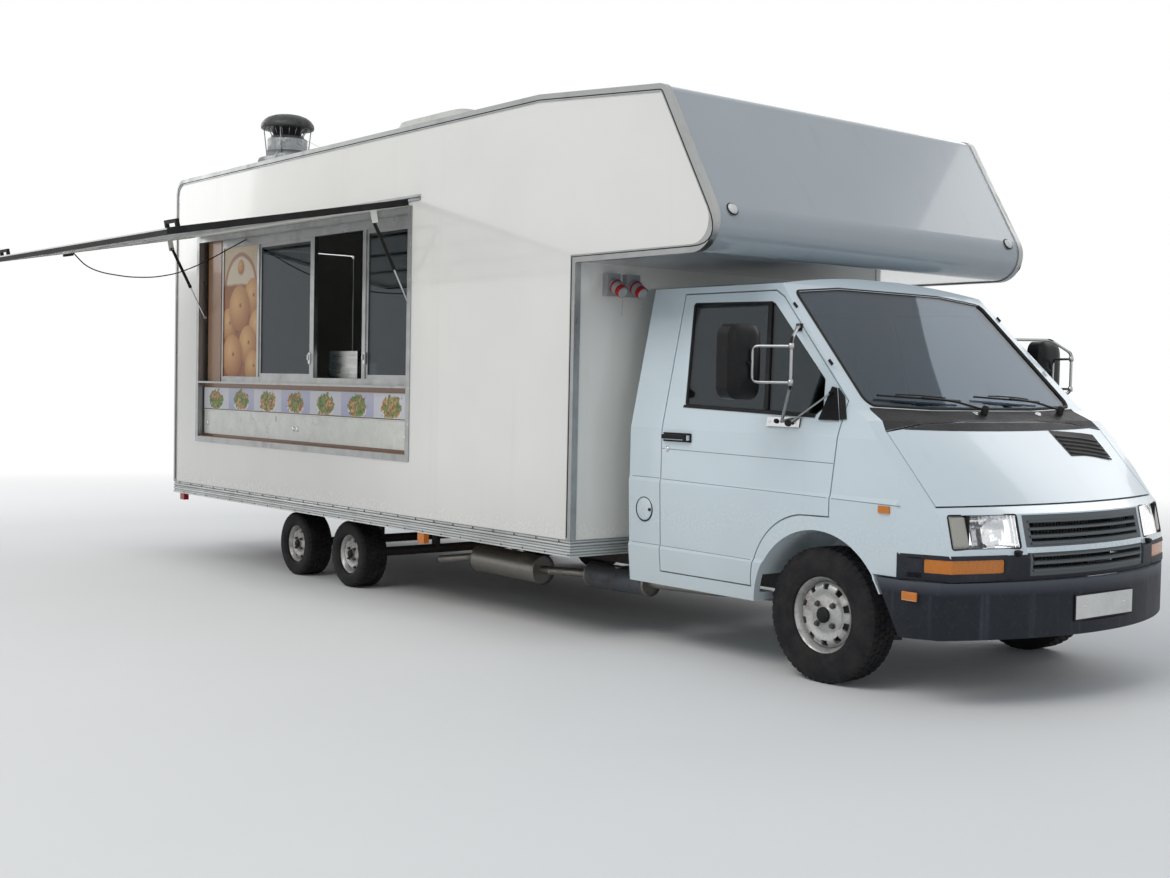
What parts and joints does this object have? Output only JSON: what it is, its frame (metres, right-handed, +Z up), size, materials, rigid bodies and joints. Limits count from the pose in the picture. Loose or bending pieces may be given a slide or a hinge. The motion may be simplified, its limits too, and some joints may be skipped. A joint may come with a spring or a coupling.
{
  "type": "food truck with coachbuilt kitchen body",
  "caption": "Van-cab food truck with a white kitchen box over the cab, an open serving hatch, a tandem rear axle and a roof chimney.",
  "frame": {"origin": "on the ground under the middle of the bounding box, with the hatch open", "axes": "+X forward along the truck, +Y to the driver's (left) side, +Z up"},
  "size_m": [7.417, 4.0976, 3.3704],
  "materials": {
    "cab_paint": "gloss, bluish white",
    "body_white": "gloss white sandwich panel",
    "overcab_grey": "gloss light grey",
    "roof_white": "satin white, weathered",
    "alu_trim": "satin anodised",
    "alu_ribbed": "ribbed mill finish",
    "black_plastic": "grained black",
    "grey_plastic": "grained dark grey",
    "clear_glass": "tinted glass",
    "lamp_clear": "ribbed clear lens",
    "lamp_amber": "ribbed amber lens",
    "lamp_red": "ribbed red lens",
    "tyre_rubber": "worn road tyre",
    "rim_steel": "silver paint with rust at the edge",
    "chassis_black": "black underseal",
    "engine_iron": "rough cast",
    "exhaust_steel": "weathered aluminised steel",
    "board_print": "printed board",
    "wood_brown": "varnished brown wood",
    "counter_white": "white marbled laminate",
    "kitchen_steel": "brushed stainless",
    "seat_cloth": "woven dark cloth",
    "dash_plastic": "grained dark grey",
    "roof_light": "white translucent plastic",
    "chimney_metal": "weathered dark grey",
    "inlet_grey": "grey moulded plastic",
    "cable_black": "black flex",
    "strut_steel": "polished rod",
    "floor_ply": "sealed plywood"
  },
  "bodies": {
    "truck": {"box_side_right": "body_white", "box_side_left": "body_white", "box_roof": "roof_white", "overcab_front": "overcab_grey", "box_front_wall": "body_white", "box_rear_wall": "body_white", "skirt_rail": "alu_ribbed", "box_floor": "floor_ply", "corner_trim": "alu_trim", "window_frames": "alu_trim", "window_glass": "clear_glass", "menu_boards": "board_print", "wood_trim": "wood_brown", "lamp_cable": "cable_black", "kitchen_units": "kitchen_steel", "chimney": "chimney_metal", "roof_lights": "roof_light", "power_inlets": "inlet_grey", "cab_shell": "cab_paint", "windscreen": "clear_glass", "cowl": "black_plastic", "headlights": "lamp_clear", "grille": "grey_plastic", "amber_lamps": "lamp_amber", "tail_lamps": "lamp_red", "bumper": "grey_plastic", "seats": "seat_cloth", "dashboard": "dash_plastic", "chassis": "chassis_black", "engine": "engine_iron", "front_axle": "chassis_black", "rear_axles": "chassis_black", "exhaust": "exhaust_steel"},
    "door_right_leaf": {"door_right": "cab_paint", "door_right_glass": "clear_glass", "mirror_right": "black_plastic"},
    "door_left_leaf": {"door_left": "cab_paint", "door_left_glass": "clear_glass", "mirror_left": "black_plastic"},
    "bonnet_lid": {"bonnet": "cab_paint"},
    "rear_door_leaf": {"rear_door": "body_white"},
    "hatch_lid": {"hatch": "body_white"},
    "hatch_strut_tubes": {"strut_tubes": "black_plastic"},
    "hatch_strut_rods": {"strut_rods": "strut_steel"},
    "flap": {"counter_flap": "counter_white"},
    "steer_right": {"knuckle_right": "engine_iron"},
    "steer_left": {"knuckle_left": "engine_iron"},
    "roll_front_right": {"tyre_front_right": "tyre_rubber", "rim_front_right": "rim_steel"},
    "roll_front_left": {"tyre_front_left": "tyre_rubber", "rim_front_left": "rim_steel"},
    "roll_rear_1_right": {"wheel_rear_1_right": "tyre_rubber"},
    "roll_rear_2_right": {"wheel_rear_2_right": "tyre_rubber"},
    "roll_rear_1_left": {"wheel_rear_1_left": "tyre_rubber"},
    "roll_rear_2_left": {"wheel_rear_2_left": "tyre_rubber"}
  },
  "joints": [
    {"name": "hatch_hinge", "type": "hinge", "parent": "truck", "child": "hatch_lid", "pos_m": [-1.7565, -0.51117, 2.436], "axis": [1, 0, 0], "range_deg": [0, 79], "deforming": ["lamp_cable"]},
    {"name": "strut_tube_hinge", "type": "hinge", "parent": "hatch_lid", "child": "hatch_strut_tubes", "pos_m": [-1.7565, -0.72617, 2.32], "axis": [1, 0, 0], "range_deg": [-110.84, 0]},
    {"name": "strut_rod_slide", "type": "slide", "parent": "hatch_strut_tubes", "child": "hatch_strut_rods", "axis": [0, -0.4683, 0.8836], "range_m": [0, 0.1844]},
    {"name": "flap_hinge", "type": "hinge", "parent": "truck", "child": "flap", "pos_m": [-1.7565, -0.45617, 1.12], "axis": [1, 0, 0], "range_deg": [-90, 0]},
    {"name": "door_right_hinge", "type": "hinge", "parent": "truck", "child": "door_right_leaf", "pos_m": [2.9485, -0.21617, 1], "axis": [0, 0, 1], "range_deg": [0, 68]},
    {"name": "door_left_hinge", "type": "hinge", "parent": "truck", "child": "door_left_leaf", "pos_m": [2.9485, 1.67383, 1], "axis": [0, 0, -1], "range_deg": [0, 68]},
    {"name": "bonnet_hinge", "type": "hinge", "parent": "truck", "child": "bonnet_lid", "pos_m": [3.1165, 0.72883, 1.237], "axis": [0, -1, 0], "range_deg": [0, 60]},
    {"name": "rear_door_hinge", "type": "hinge", "parent": "truck", "child": "rear_door_leaf", "pos_m": [-3.6645, 1.07533, 1.5], "axis": [0, 0, -1], "range_deg": [0, 100]},
    {"name": "steer_left_hinge", "type": "hinge", "parent": "truck", "child": "steer_left", "pos_m": [2.7785, 1.44883, 0.317], "axis": [0, 0, 1], "range_deg": [-35, 35]},
    {"name": "steer_right_hinge", "type": "hinge", "parent": "truck", "child": "steer_right", "pos_m": [2.7785, 0.00883, 0.317], "axis": [0, 0, 1], "range_deg": [-35, 35]},
    {"name": "wheel_front_right_spin", "type": "hinge", "parent": "steer_right", "child": "roll_front_right", "pos_m": [2.7785, -0.06517, 0.317], "axis": [0, 1, 0], "continuous": true},
    {"name": "wheel_rear_1_right_spin", "type": "hinge", "parent": "truck", "child": "roll_rear_1_right", "pos_m": [-1.1255, -0.30817, 0.218], "axis": [0, 1, 0], "continuous": true},
    {"name": "wheel_rear_2_right_spin", "type": "hinge", "parent": "truck", "child": "roll_rear_2_right", "pos_m": [-1.8515, -0.30817, 0.218], "axis": [0, 1, 0], "continuous": true},
    {"name": "wheel_front_left_spin", "type": "hinge", "parent": "steer_left", "child": "roll_front_left", "pos_m": [2.7785, 1.52283, 0.317], "axis": [0, 1, 0], "continuous": true},
    {"name": "wheel_rear_1_left_spin", "type": "hinge", "parent": "truck", "child": "roll_rear_1_left", "pos_m": [-1.1255, 1.76583, 0.218], "axis": [0, 1, 0], "continuous": true},
    {"name": "wheel_rear_2_left_spin", "type": "hinge", "parent": "truck", "child": "roll_rear_2_left", "pos_m": [-1.8515, 1.76583, 0.218], "axis": [0, 1, 0], "continuous": true}
  ],
  "couplings": [
    {"joint": "strut_tube_hinge", "follows": "hatch_hinge", "ratio": -1.3967},
    {"joint": "strut_rod_slide", "follows": "hatch_hinge", "m_per_rad": 0.13228},
    {"joint": "steer_right_hinge", "follows": "steer_left_hinge", "ratio": 1}
  ]
}
